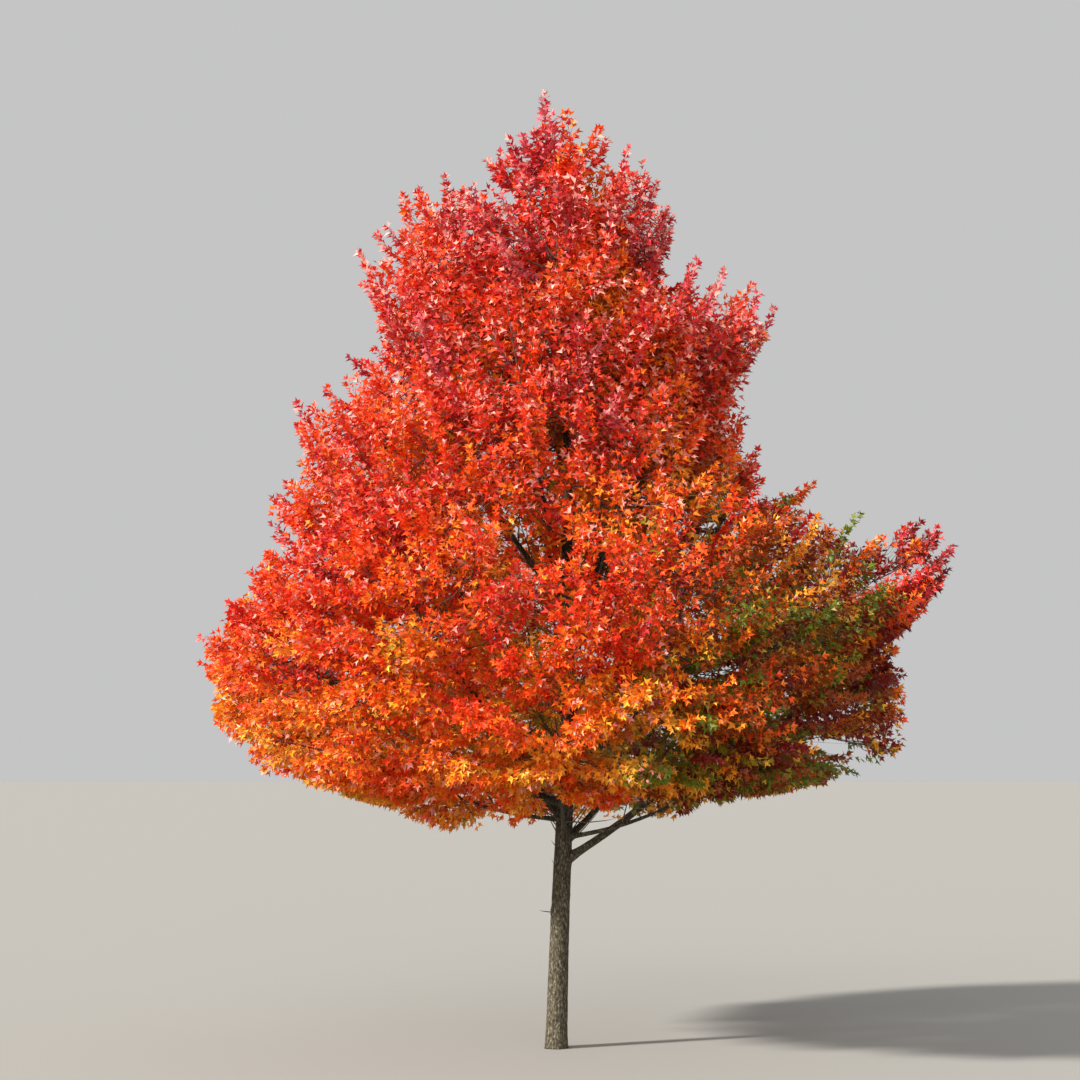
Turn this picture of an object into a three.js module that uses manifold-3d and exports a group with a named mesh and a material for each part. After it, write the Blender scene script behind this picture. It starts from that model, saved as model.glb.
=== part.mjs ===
// A young maple in autumn leaf: a trunk, its boughs, and the masses of foliage that they carry.
// Millimetres. The origin is the centre of the trunk's flat cut at ground level, +Z is up,
// +X is to the right of the tree seen from the front, and +Y is to its back.
import * as THREE from "three";
import { mergeVertices } from "three/addons/utils/BufferGeometryUtils.js";
import Module from "manifold-3d";

const wasm = await Module();
wasm.setup();

const TREE_HEIGHT = 7600;
const NODE_GAP = 0.3; // between two neighbours that touch on the tree
const UP = new THREE.Vector3(0, 0, 1);

// The trunk's axis leans to the right up to the middle of the crown, and back to the left above it.
// Each station is a height, with how far right and how far back the axis is there.
const TRUNK_AXIS = [
  [0, 0, 0],
  [950, 31, 10],
  [2100, 78, 25],
  [3800, 88, -20],
  [5200, 80, 15],
  [6500, -30, 0],
];
const TRUNK_RADIUS_FOOT = 84; // above the flare, if it went on down to the ground
const TRUNK_RADIUS_TIP = 9;
const TRUNK_TAPER_POWER = 0.86;
const FLARE_HEIGHT = 110;
const FLARE_SHARE = 0.13;
const FLARE_LOBES = 5;
const FLARE_LOBE_SHARE = 0.35;
const TRUNK_SIDES = 12;
const TRUNK_STEPS = 12;
const TRUNK_EVENNESS = 0.35; // at 1 its rings are evenly spaced, and below that closer at the foot

// How far the crown reaches from its axis: a height, then the reach to the left and to the right.
const CROWN_AXIS_X = 70;
const CROWN_REACH = [
  [1690, 950, 560],
  [1850, 1330, 990],
  [2000, 1810, 1700],
  [2150, 2350, 2460],
  [2500, 2740, 2760],
  [2900, 2880, 2700],
  [3240, 2980, 2700],
  [3400, 2700, 2880],
  [3620, 2660, 3090],
  [3900, 2400, 3100],
  [4060, 2320, 2960],
  [4140, 2400, 2050],
  [4380, 2330, 2100],
  [4440, 2240, 1570],
  [4850, 2300, 1560],
  [5120, 2190, 1440],
  [5200, 1870, 1450],
  [5380, 1850, 1530],
  [5500, 1580, 1620],
  [5930, 1640, 1870],
  [6100, 1710, 1300],
  [6230, 1740, 900],
  [6640, 1420, 960],
  [6850, 1330, 870],
  [6920, 780, 860],
  [7120, 880, 830],
  [7220, 430, 600],
  [7350, 350, 290],
  [TREE_HEIGHT, 270, 60],
];
const CROWN_DEPTH_SHARE = 0.95; // the reach to the front and back against the mean of left and right

// The masses of foliage stand in tiers round the trunk. Each tier has the height of its masses and
// how far each rises or drops from it in turn, how many they are, the azimuth of the first, and how
// far out they are as a share of the crown's reach. Its boughs leave the trunk one above another.
const TIERS = [
  { name: "low", height: 2270, stagger: 80, count: 6, azimuth: 28, share: 0.62, fork: 1980, step: -70 },
  { name: "wide", height: 3200, stagger: 150, count: 6, azimuth: -4, share: 0.73, fork: 1440, step: 150 },
  { name: "middle", height: 4250, stagger: 120, count: 5, azimuth: 0, share: 0.66, fork: 2300, step: 140 },
  { name: "upper", height: 5250, stagger: 110, count: 5, azimuth: 36, share: 0.64, fork: 3150, step: 140 },
  { name: "high", height: 6180, stagger: 100, count: 4, azimuth: -5, share: 0.54, fork: 4650, step: 130 },
];
// These masses grow straight from the trunk inside the crown, and one tops it.
const INNER_MASSES = [
  { name: "inner_low", height: 2620, azimuth: 250, out: 520 },
  { name: "inner_middle", height: 3800, azimuth: 50, out: 480 },
];
const INNER_STEM_DROP = 260; // how far under its mass such a stem leaves the trunk
const TOP_MASS = { name: "top", height: 6980, right: -70 };

// A bough is thicker at the trunk the longer it is, and it bends up towards its mass.
const BOUGH_RADIUS_PER_LENGTH = 0.0118;
const BOUGH_TIP_RADIUS = 11;
const BOUGH_SAG = 0.12; // how far its middle is under the straight line, as a share of its length
const BOUGH_SIDES = 6;
const BOUGH_STEPS = 4;
const MASS_ENTRY = 400; // from a mass's centre to the tip of its bough

// A mass has a spiny core, like a burr, and twigs that stand out between its points with leaves.
const CELL_MARGIN = 9; // from the plane half way to the next mass
const SPACE_STRIDE = 20; // how finely the way out of a mass's space is measured
const CORE_BODY = 0.42; // of the way from the mass's centre to the side of its space
const CORE_POINTS = 0.9; // the same at the core's twelve points
const CORE_LARGEST = 1000;
const CORE_LIMB_GAP = 12;
const STEM_RADIUS = 9;
const TWIG_SEED = 1000; // times a mass's number, plus a twig's, it is the seed of that twig's draws
const TWIG_RADIUS = 13;
const TWIG_PULL = 0.12; // how strongly the twigs are drawn towards the way that the mass grows
const TWIG_STRAY = 0.16; // how far a twig strays from its even place
const TWIG_SHORTEST = 0.9; // of the way to the side of the mass's space
const SIDE_LEAF_FROM = 0.7; // only a twig this near to the way that the mass grows has a side leaf
const SIDE_LEAF_AT = 0.5; // where it sits, as a share of the twig from the core to the leaf at its tip
const SIDE_LEAF_ANGLE = THREE.MathUtils.degToRad(46);
const LIMB_CLEARANCE = 3; // between a twig or leaf and any limb

const LEAF_LENGTH = 540;
const LEAF_SMALLEST = 0.65; // of the longest
const LEAF_OF_REACH = 0.66; // the longest leaf against how far its twig reaches
const LEAF_SUNK = 0.1; // how much of its length a leaf at a twig's tip shares with the twig
const LEAF_THICKNESS = 10;
const LEAF_DROOP = 0.1;
const LEAF_TOSS = 0.8; // how far a leaf's face strays from the light
const LIGHT_LEAN = 0.7; // how far the light leans away from the trunk
// The leaf's outline as shares of its length: its tip, one side, its base and the other side.
const LEAF_OUTLINE = [
  [1, 0],
  [0.42, 0.34],
  [0, 0],
  [0.42, -0.34],
];
const LEAF_THICKEST = 0.42;

const BARK = { color: 0x6b6056, roughness: 0.95, metalness: 0 };
const LEAF_TINTS = {
  crimson: 0xb3203a,
  scarlet: 0xd23324,
  orange: 0xe2661c,
  amber: 0xe08e20,
  olive: 0x8c8426,
};

// Random numbers from 0 to 1 that are the same on every run.
function seededRandom(seed) {
  let state = seed >>> 0;
  return () => {
    state = (state + 0x6d2b79f5) >>> 0;
    let mixed = Math.imul(state ^ (state >>> 15), state | 1);
    mixed ^= mixed + Math.imul(mixed ^ (mixed >>> 7), mixed | 61);
    return ((mixed ^ (mixed >>> 14)) >>> 0) / 4294967296;
  };
}

// The columns after the first of a table of stations, in between two of them.
function stationAt(stations, height) {
  const above = stations.findIndex(([top]) => top >= height);
  const index = above < 0 ? stations.length - 1 : Math.max(1, above);
  const [low, high] = [stations[index - 1], stations[index]];
  const share = THREE.MathUtils.clamp((height - low[0]) / (high[0] - low[0]), 0, 1);
  return low.slice(1).map((value, i) => THREE.MathUtils.lerp(value, high[i + 1], share));
}

// A closed solid from a geometry, with its faces pointing out.
function toSolid(geometry) {
  const bare = new THREE.BufferGeometry().setAttribute("position", geometry.attributes.position);
  const merged = mergeVertices(bare.setIndex(geometry.index), 1e-3);
  const vertProperties = new Float32Array(merged.attributes.position.array);
  const triVerts = new Uint32Array(merged.index.array);
  const solid = new wasm.Manifold(new wasm.Mesh({ numProp: 3, vertProperties, triVerts }));
  if (solid.volume() > 0) return solid;
  triVerts.reverse();
  return new wasm.Manifold(new wasm.Mesh({ numProp: 3, vertProperties, triVerts }));
}

function toGeometry(solid) {
  const mesh = solid.getMesh();
  return new THREE.BufferGeometry()
    .setAttribute("position", new THREE.BufferAttribute(mesh.vertProperties, 3))
    .setIndex(new THREE.BufferAttribute(mesh.triVerts, 1));
}

function largestBody(solid) {
  return solid.decompose().reduce((a, b) => (b.volume() > a.volume() ? b : a));
}

// A cylinder whose points are moved to place(share of its length, turn, share of its radius).
function bentCylinder(sides, steps, place) {
  const geometry = new THREE.CylinderGeometry(1, 1, 1, sides, steps);
  const position = geometry.attributes.position;
  for (let i = 0; i < position.count; i++) {
    const share = THREE.MathUtils.clamp(position.getY(i) + 0.5, 0, 1);
    const turn = Math.atan2(position.getZ(i), position.getX(i));
    const out = Math.hypot(position.getX(i), position.getZ(i));
    position.setXYZ(i, ...place(share, turn, out));
  }
  return toSolid(geometry);
}

// The trunk stands on flat rings, from its cut at ground level to its tip under the top mass.
const trunkTip = TRUNK_AXIS.at(-1)[0];
const trunkSpline = new THREE.CubicInterpolant(
  TRUNK_AXIS.map((station) => station[0]),
  TRUNK_AXIS.flatMap((station) => station.slice(1)),
  2,
);

function trunkPoint(height) {
  const [right, back] = trunkSpline.evaluate(height);
  return new THREE.Vector3(right, back, height);
}

function trunkRadius(height, turn) {
  const taper = Math.pow(1 - height / trunkTip, TRUNK_TAPER_POWER);
  const plain = THREE.MathUtils.lerp(TRUNK_RADIUS_TIP, TRUNK_RADIUS_FOOT, taper);
  const lobes = 1 + FLARE_LOBE_SHARE * Math.cos(FLARE_LOBES * turn);
  return plain * (1 + FLARE_SHARE * Math.exp(-height / FLARE_HEIGHT) * lobes);
}

function trunkSolid(growth) {
  return bentCylinder(TRUNK_SIDES, TRUNK_STEPS, (share, turn, out) => {
    const height = trunkTip * share * (TRUNK_EVENNESS + (1 - TRUNK_EVENNESS) * share);
    const radius = out * (trunkRadius(height, turn) + growth);
    const point = trunkPoint(height);
    return [point.x + radius * Math.cos(turn), point.y + radius * Math.sin(turn), point.z];
  });
}

// Part of a longer curve.
class CurvePart extends THREE.Curve {
  constructor(whole, from, to) {
    super();
    Object.assign(this, { whole, from, to });
  }
  getPoint(share, target = new THREE.Vector3()) {
    return target.copy(this.whole.getPoint(THREE.MathUtils.lerp(this.from, this.to, share)));
  }
}

// A tapering limb whose rings stand square to its curve.
function limbSolid(curve, radiusStart, radiusEnd, sides, steps) {
  const frames = curve.computeFrenetFrames(steps);
  return bentCylinder(sides, steps, (share, turn, out) => {
    const ring = Math.round(share * steps);
    const radius = out * THREE.MathUtils.lerp(radiusStart, radiusEnd, share);
    return curve
      .getPointAt(share)
      .addScaledVector(frames.normals[ring], radius * Math.cos(turn))
      .addScaledVector(frames.binormals[ring], radius * Math.sin(turn))
      .toArray();
  });
}

// How far the crown reaches from its axis at a height, to the side that an azimuth points.
function crownReach(height, azimuth) {
  if (height < CROWN_REACH[0][0] || height > TREE_HEIGHT) return 0;
  const [left, right] = stationAt(CROWN_REACH, height);
  const toRight = (1 + Math.cos(azimuth)) / 2;
  const depth = 1 - (1 - CROWN_DEPTH_SHARE) * Math.sin(azimuth) ** 2;
  return depth * THREE.MathUtils.lerp(left, right, toRight);
}

function inCrown(point) {
  const across = point.x - CROWN_AXIS_X;
  return Math.hypot(across, point.y) < crownReach(point.z, Math.atan2(point.y, across));
}

// Where each mass is, and the curve that its bough and stem follow to its centre.
function besideTrunk(height, azimuth, out) {
  return new THREE.Vector3(CROWN_AXIS_X + out * Math.cos(azimuth), out * Math.sin(azimuth), height);
}

function boughCurve(start, end) {
  const middle = start.clone().lerp(end, 0.5);
  middle.z -= BOUGH_SAG * start.distanceTo(end);
  return new THREE.QuadraticBezierCurve3(start, middle, end);
}

const masses = [];
for (const tier of TIERS) {
  for (let i = 0; i < tier.count; i++) {
    const azimuth = THREE.MathUtils.degToRad(tier.azimuth + (360 * i) / tier.count);
    const height = tier.height + (i % 2 ? -tier.stagger : tier.stagger);
    const centre = besideTrunk(height, azimuth, tier.share * crownReach(height, azimuth));
    const curve = boughCurve(trunkPoint(tier.fork + i * tier.step), centre);
    masses.push({ name: `${tier.name}_${i + 1}`, centre, curve, onBough: true });
  }
}
for (const { name, height, azimuth, out } of INNER_MASSES) {
  const centre = besideTrunk(height, THREE.MathUtils.degToRad(azimuth), out);
  masses.push({ name, centre, curve: boughCurve(trunkPoint(height - INNER_STEM_DROP), centre) });
}
const topCentre = new THREE.Vector3(TOP_MASS.right, 0, TOP_MASS.height);
masses.push({
  name: TOP_MASS.name,
  centre: topCentre,
  curve: new THREE.LineCurve3(trunkPoint(trunkTip).addScaledVector(UP, NODE_GAP), topCentre),
});

// The twelve ways to an icosahedron's corners, where a burr has its points, and the twenty to its
// faces, which lie between them. The first face looks the way that the mass grows.
const burrCorners = [];
const burrValleys = [];
const icosahedron = new THREE.IcosahedronGeometry(1, 0).attributes.position;
for (let i = 0; i < icosahedron.count; i += 3) {
  const corners = [0, 1, 2].map((k) => new THREE.Vector3().fromBufferAttribute(icosahedron, i + k));
  burrCorners.push(...corners);
  burrValleys.push(corners[0].clone().add(corners[1]).add(corners[2]).normalize());
}

// A mass's space is what is nearer to its centre than to any other, inside the crown.
masses.forEach((mass, number) => {
  mass.seed = TWIG_SEED * (number + 1);
  mass.heading = mass.curve.getTangent(1);
  mass.turn = new THREE.Quaternion().setFromUnitVectors(burrValleys[0], mass.heading);
  mass.outward = new THREE.Vector3(mass.centre.x - CROWN_AXIS_X, mass.centre.y, 0).normalize();
  mass.sides = masses
    .filter((other) => other !== mass)
    .map((other) => {
      const inward = mass.centre.clone().sub(other.centre).normalize();
      const middle = mass.centre.clone().lerp(other.centre, 0.5).addScaledVector(inward, CELL_MARGIN);
      return new THREE.Plane().setFromNormalAndCoplanarPoint(inward, middle);
    });
});

function inSpace(mass, point) {
  return inCrown(point) && mass.sides.every((side) => side.distanceToPoint(point) > 0);
}

// How far it is from a point to the side of the mass's space.
function wayOut(mass, from, direction) {
  const point = from.clone();
  let way = 0;
  while (inSpace(mass, point)) {
    way += SPACE_STRIDE;
    point.addScaledVector(direction, SPACE_STRIDE);
  }
  return Math.max(0, way - SPACE_STRIDE);
}

// The mass's core is a burr whose body and points follow the space round it.
function coreReach(mass, direction, share) {
  return Math.min(CORE_LARGEST, share * wayOut(mass, mass.centre, direction));
}

function coreSolid(mass) {
  const geometry = new THREE.IcosahedronGeometry(1, 1);
  const position = geometry.attributes.position;
  for (let i = 0; i < position.count; i++) {
    const direction = new THREE.Vector3().fromBufferAttribute(position, i).normalize();
    const isPoint = burrCorners.some((corner) => corner.angleTo(direction) < 0.1);
    direction.applyQuaternion(mass.turn);
    const reach = coreReach(mass, direction, isPoint ? CORE_POINTS : CORE_BODY);
    const point = mass.centre.clone().addScaledVector(direction, reach);
    position.setXYZ(i, point.x, point.y, point.z);
  }
  return toSolid(geometry);
}

// A twig is a three-sided spike.
function twigSolid(from, to) {
  const direction = to.clone().sub(from);
  const geometry = new THREE.ConeGeometry(TWIG_RADIUS, direction.length(), 3, 1);
  const turn = new THREE.Quaternion().setFromUnitVectors(new THREE.Vector3(0, 1, 0), direction.normalize());
  const middle = from.clone().lerp(to, 0.5);
  geometry.applyQuaternion(turn).translate(middle.x, middle.y, middle.z);
  return toSolid(geometry);
}

// A leaf lies along its direction with its face towards the light, and its tip droops a little.
function leafPoints(base, direction, face, length) {
  const across = face.clone().cross(direction).normalize();
  const normal = direction.clone().cross(across);
  const at = (along, aside, off) =>
    base
      .clone()
      .addScaledVector(direction, along * length)
      .addScaledVector(across, aside * length)
      .addScaledVector(normal, off - LEAF_DROOP * length * along * along);
  const outline = LEAF_OUTLINE.map(([along, aside]) => at(along, aside, 0));
  const faces = [1, -1].map((side) => at(LEAF_THICKEST, 0, (side * LEAF_THICKNESS) / 2));
  return { outline, faces };
}

// The leaf is a sphere of one middle row, whose corners go to the outline and poles to the faces.
function leafSolid({ outline, faces }) {
  const count = outline.length;
  const geometry = new THREE.SphereGeometry(1, count, 2);
  const position = geometry.attributes.position;
  for (let i = 0; i < position.count; i++) {
    const row = Math.floor(i / (count + 1));
    const corner = outline[(i % (count + 1)) % count];
    const point = row === 1 ? corner : faces[row / 2];
    position.setXYZ(i, point.x, point.y, point.z);
  }
  return toSolid(geometry);
}

// The boughs, cut clear of the trunk, and the stems that go on from them into their masses.
const trunkWithGap = trunkSolid(NODE_GAP);
const boughs = [];
for (const mass of masses.filter((each) => each.onBough)) {
  const length = mass.curve.getLength();
  const entry = 1 - MASS_ENTRY / length;
  const curve = new CurvePart(mass.curve, 0, entry);
  const radius = BOUGH_RADIUS_PER_LENGTH * length;
  const grown = (growth) =>
    limbSolid(curve, radius + growth, BOUGH_TIP_RADIUS + growth, BOUGH_SIDES, BOUGH_STEPS);
  boughs.push({ name: `bough_${mass.name}`, solid: largestBody(grown(0).subtract(trunkWithGap)), grown });
  mass.curve = new CurvePart(mass.curve, entry + NODE_GAP / length, 1);
}

function limbsGrownBy(growth) {
  return wasm.Manifold.union([trunkSolid(growth), ...boughs.map((bough) => bough.grown(growth))]);
}
const limbsForCores = limbsGrownBy(CORE_LIMB_GAP);
const limbsForLeaves = limbsGrownBy(LIMB_CLEARANCE);

function stemSolid(mass) {
  const stem = limbSolid(mass.curve, STEM_RADIUS, STEM_RADIUS, 3, 3);
  return mass.onBough ? stem : largestBody(stem.subtract(trunkWithGap));
}

// Twigs leave the middle of the mass between its core's points, and each carries a leaf at its tip.
// The foremost carry a side leaf too. What would leave the mass's space or touch a limb is left out.
function foliageSolid(mass) {
  const { centre, heading, seed } = mass;
  const light = mass.outward.clone().multiplyScalar(LIGHT_LEAN).add(UP).normalize();
  const pieces = [coreSolid(mass).subtract(limbsForCores)];
  const addLeaf = (base, direction, length, toss) => {
    const points = leafPoints(base, direction, light.clone().addScaledVector(toss, LEAF_TOSS), length);
    if (!points.outline.every((point) => inSpace(mass, point))) return;
    const leaf = leafSolid(points);
    if (leaf.intersect(limbsForLeaves).isEmpty()) pieces.push(leaf);
  };
  burrValleys.forEach((valley, number) => {
    const forward = valley.dot(burrValleys[0]);
    if (forward < 0) return;
    const random = seededRandom(seed + number);
    const astray = () => new THREE.Vector3(random() - 0.5, random() - 0.5, random() - 0.5);
    const direction = valley
      .clone()
      .applyQuaternion(mass.turn)
      .addScaledVector(heading, TWIG_PULL)
      .addScaledVector(astray(), TWIG_STRAY)
      .normalize();
    const share = number === 0 ? 1 : THREE.MathUtils.lerp(TWIG_SHORTEST, 1, random());
    const reach = share * wayOut(mass, centre, direction);
    const [tipLeaf, sideLeaf] = [random(), random()].map((draw) =>
      Math.min(LEAF_LENGTH * THREE.MathUtils.lerp(LEAF_SMALLEST, 1, draw), LEAF_OF_REACH * reach),
    );
    const leafBase = centre.clone().addScaledVector(direction, reach - tipLeaf);
    const twig = twigSolid(centre, leafBase.clone().addScaledVector(direction, LEAF_SUNK * tipLeaf));
    if (!twig.subtract(pieces[0]).intersect(limbsForLeaves).isEmpty()) return;
    pieces.push(twig);
    addLeaf(leafBase, direction, tipLeaf, astray());
    if (forward < SIDE_LEAF_FROM) return;
    const aside = new THREE.Vector3().crossVectors(light, direction).normalize();
    const way = direction
      .clone()
      .multiplyScalar(Math.cos(SIDE_LEAF_ANGLE))
      .addScaledVector(aside, Math.sin(SIDE_LEAF_ANGLE) * (random() < 0.5 ? -1 : 1));
    const along = THREE.MathUtils.lerp(coreReach(mass, direction, CORE_BODY), reach - tipLeaf, SIDE_LEAF_AT);
    const base = centre.clone().addScaledVector(direction, along);
    addLeaf(base, way, Math.min(sideLeaf, wayOut(mass, base, way)), astray());
  });
  return largestBody(wasm.Manifold.union([...pieces, stemSolid(mass)]));
}

// The leaves turn crimson at the top first, and stay amber inside and olive low down on the right.
function foliageTint({ centre }) {
  const right = centre.x - CROWN_AXIS_X;
  const isRight = right > 0.1 * TREE_HEIGHT;
  if (centre.z > 0.7 * TREE_HEIGHT) return LEAF_TINTS.crimson;
  if (Math.hypot(right, centre.y) < 0.1 * TREE_HEIGHT) return LEAF_TINTS.amber;
  if (centre.z < 0.33 * TREE_HEIGHT) return isRight ? LEAF_TINTS.olive : LEAF_TINTS.orange;
  return isRight ? LEAF_TINTS.orange : LEAF_TINTS.scarlet;
}

const tree = new THREE.Group();
tree.name = "maple_tree";

function addNode(name, solid, material) {
  const mesh = new THREE.Mesh(toGeometry(solid), new THREE.MeshStandardMaterial(material));
  mesh.name = name;
  tree.add(mesh);
}

addNode("trunk", trunkSolid(0), BARK);
for (const bough of boughs) addNode(bough.name, bough.solid, BARK);
for (const mass of masses) {
  const leaves = { color: foliageTint(mass), roughness: 0.7, metalness: 0 };
  addNode(`foliage_${mass.name}`, foliageSolid(mass), leaves);
}

export default tree;
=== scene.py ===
# The looks of a young maple in autumn leaf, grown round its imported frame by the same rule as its
# solids and carried on to finer shoots and leaves. Metres, in the frame's own axes: +X is to the
# right of the tree seen from the front, +Y to its back and +Z up, from the cut at ground level.
import math
from functools import partial
from types import SimpleNamespace

import bpy
import numpy as np
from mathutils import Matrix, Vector, kdtree, noise


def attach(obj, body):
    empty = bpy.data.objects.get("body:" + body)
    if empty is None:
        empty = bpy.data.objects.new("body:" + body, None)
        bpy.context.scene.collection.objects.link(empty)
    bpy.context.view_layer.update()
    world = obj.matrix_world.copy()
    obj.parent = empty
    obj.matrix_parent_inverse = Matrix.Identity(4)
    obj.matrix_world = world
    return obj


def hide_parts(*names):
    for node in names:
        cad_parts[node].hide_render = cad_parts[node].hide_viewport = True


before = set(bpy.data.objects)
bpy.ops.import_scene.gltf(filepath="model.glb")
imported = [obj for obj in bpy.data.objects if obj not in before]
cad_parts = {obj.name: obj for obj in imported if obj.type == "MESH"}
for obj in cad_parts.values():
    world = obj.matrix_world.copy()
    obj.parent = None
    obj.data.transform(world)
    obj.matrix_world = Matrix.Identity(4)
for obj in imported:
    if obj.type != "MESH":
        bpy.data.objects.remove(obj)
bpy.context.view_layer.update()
BODY = "root"

# The tree's driving sizes, as in its solids.
TREE_HEIGHT = 7.6
UP = np.array([0.0, 0.0, 1.0])
TRUNK_AXIS = np.array([  # height, how far right and how far back
    [0.0, 0.0, 0.0],
    [0.95, 0.031, 0.010],
    [2.1, 0.078, 0.025],
    [3.8, 0.088, -0.020],
    [5.2, 0.080, 0.015],
    [6.5, -0.030, 0.0],
])
TRUNK_TIP = TRUNK_AXIS[-1, 0]
TRUNK_RADIUS_FOOT = 0.084
TRUNK_RADIUS_TIP = 0.009
TRUNK_TAPER_POWER = 0.86
FLARE_HEIGHT = 0.11
FLARE_SHARE = 0.13
FLARE_LOBES = 5
FLARE_LOBE_SHARE = 0.35

CROWN_AXIS_X = 0.07
CROWN_HALF_WIDTH = 3
CROWN_REACH = np.array([  # height, reach to the left, reach to the right
    [1.69, 0.95, 0.56], [1.85, 1.33, 0.99], [2.00, 1.81, 1.70], [2.15, 2.35, 2.46],
    [2.50, 2.74, 2.76], [2.90, 2.88, 2.70], [3.24, 2.98, 2.70], [3.40, 2.70, 2.88],
    [3.62, 2.66, 3.09], [3.90, 2.40, 3.10], [4.06, 2.32, 2.96], [4.14, 2.40, 2.05],
    [4.38, 2.33, 2.10], [4.44, 2.24, 1.57], [4.85, 2.30, 1.56], [5.12, 2.19, 1.44],
    [5.20, 1.87, 1.45], [5.38, 1.85, 1.53], [5.50, 1.58, 1.62], [5.93, 1.64, 1.87],
    [6.10, 1.71, 1.30], [6.23, 1.74, 0.90], [6.64, 1.42, 0.96], [6.85, 1.33, 0.87],
    [6.92, 0.78, 0.86], [7.12, 0.88, 0.83], [7.22, 0.43, 0.60], [7.35, 0.35, 0.29],
    [TREE_HEIGHT, 0.27, 0.06],
])
CROWN_DEPTH_SHARE = 0.95

# Tiers of masses: height, how far each rises or drops in turn, how many, the azimuth of the first,
# how far out as a share of the reach, and where the boughs leave the trunk, one above another.
TIERS = {
    "low": dict(height=2.27, stagger=0.08, count=6, azimuth=28, share=0.62, fork=1.98, step=-0.07),
    "wide": dict(height=3.20, stagger=0.15, count=6, azimuth=-4, share=0.73, fork=1.44, step=0.15),
    "middle": dict(height=4.25, stagger=0.12, count=5, azimuth=0, share=0.66, fork=2.30, step=0.14),
    "upper": dict(height=5.25, stagger=0.11, count=5, azimuth=36, share=0.64, fork=3.15, step=0.14),
    "high": dict(height=6.18, stagger=0.10, count=4, azimuth=-5, share=0.54, fork=4.65, step=0.13),
}
INNER_MASSES = {
    "inner_low": dict(height=2.62, azimuth=250, out=0.52),
    "inner_middle": dict(height=3.80, azimuth=50, out=0.48),
}
INNER_STEM_DROP = 0.26
TOP_MASS_HEIGHT = 6.98
TOP_MASS_RIGHT = -0.07

BOUGH_RADIUS_PER_LENGTH = 0.0118
BOUGH_TIP_RADIUS = 0.011
BOUGH_SAG = 0.12
MASS_ENTRY = 0.4
CELL_MARGIN = 0.009
SPACE_STRIDE = 0.02
RANDOM_STEP = 0x6D2B79F5
WORD = 0xFFFFFFFF  # the highest whole number of 32 bits
TWIG_SEED = 1000
TWIG_PULL = 0.12
TWIG_STRAY = 0.16
TWIG_SHORTEST = 0.9
POINT_REACH = 0.76  # of the way out, for the twigs between the others
BACK_REACH = 0.62  # the same for twigs that grow back towards the trunk
LONGEST_WAY = 4.0

# What grows on from the twigs: shoots in opposite pairs, spurs on the shoots in turn, and leaves.
STEM_TIP_RADIUS = 0.007
TWIG_RADIUS = 0.0065
TWIG_TIP_RADIUS = 0.0018
TWIG_SIDES = 4
TWIG_RINGS = 5
INNER_STEM_START = 0.05  # of its way, where a stem on the trunk itself starts
STEM_SHARED = 0.32  # how far back along the stem the twigs that look back leave it
LOOKS_AHEAD = 0.9  # the cosine from which a twig looks ahead
TWIG_LEAFY_END = 0.3
TWIG_TURN = 0.75  # how far a twig's end turns towards the way that the crown grows there
TWIG_TURN_LENGTH = 0.5  # of the twig's reach, in which it turns
PLUME_LENGTH = 0.62  # the dense end of a leader, or of a main twig near the crown's side
PLUME_NEAR_SIDE = 0.22  # how near such a main twig ends
PLUME_LOOK = 0.4  # how far ahead the side is looked for
PLUME_FREE = 0.4  # of its length, without side shoots
PLUME_ROOM = 0.21  # between the tips of plumes, where the insets' share is one
PLUME_ROOM_MOST = 1.4  # times that, where the share is larger
CROWDED_SHARE = 0.55  # of a leader's length, where it would come nearer to another


def shoot_rule(leaders=0, lead_length=0, **values):
    return SimpleNamespace(leaders=leaders, lead_length=lead_length, **values)


# In each rule, first and last are shares of the parent, shorter is the share that a shoot loses towards
# the parent's tip, bend its turn towards the crown's way of growing, and inset its way to the crown's side.
BRANCHLETS = shoot_rule(
    spacing=0.22, first=0.2, last=0.98, angle=math.radians(48), length=1.1, shorter=0.35,
    shortest=0.25, bend=0.55, inset=(0.3, 0.5)
)
FORKS = shoot_rule(
    spacing=0.42, first=0.35, last=0.85, angle=math.radians(44), length=0.85, shorter=0.35,
    shortest=0.25, bend=0.5, inset=(0.2, 0.5)
)
SHOOTS = shoot_rule(
    spacing=0.17, first=0.2, last=0.97, angle=math.radians(34), length=0.56, shorter=0.5,
    shortest=0.12, bend=0.85, inset=(0.32, 0.62), leaders=0.1, lead_length=0.8
)
SPURS = shoot_rule(
    spacing=0.25, first=0.15, last=0.8, angle=math.radians(36), length=0.17, shorter=0.5,
    shortest=0.06, bend=0.7, inset=(0.0, 0.12)
)
PAIR_PLACE = (0.2, 0.8)  # in a pair's own stretch of the parent
PAIR_TWIST = 0.5  # either way round the parent, in radians
SHOOT_SPREAD = (0.75, 1.25)  # of the rule's angle and length
CHORD_BEND = 0.8  # of a shoot's bend, for the straight way to its tip
SHOOT_HANDLE = 0.45  # of a shoot's length, before it bends
LONGEST_SHOOT = 1.5
LEAD_BEND = 0.95
LEAD_INSET = 0.3  # a leader's inset, at the most
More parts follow.
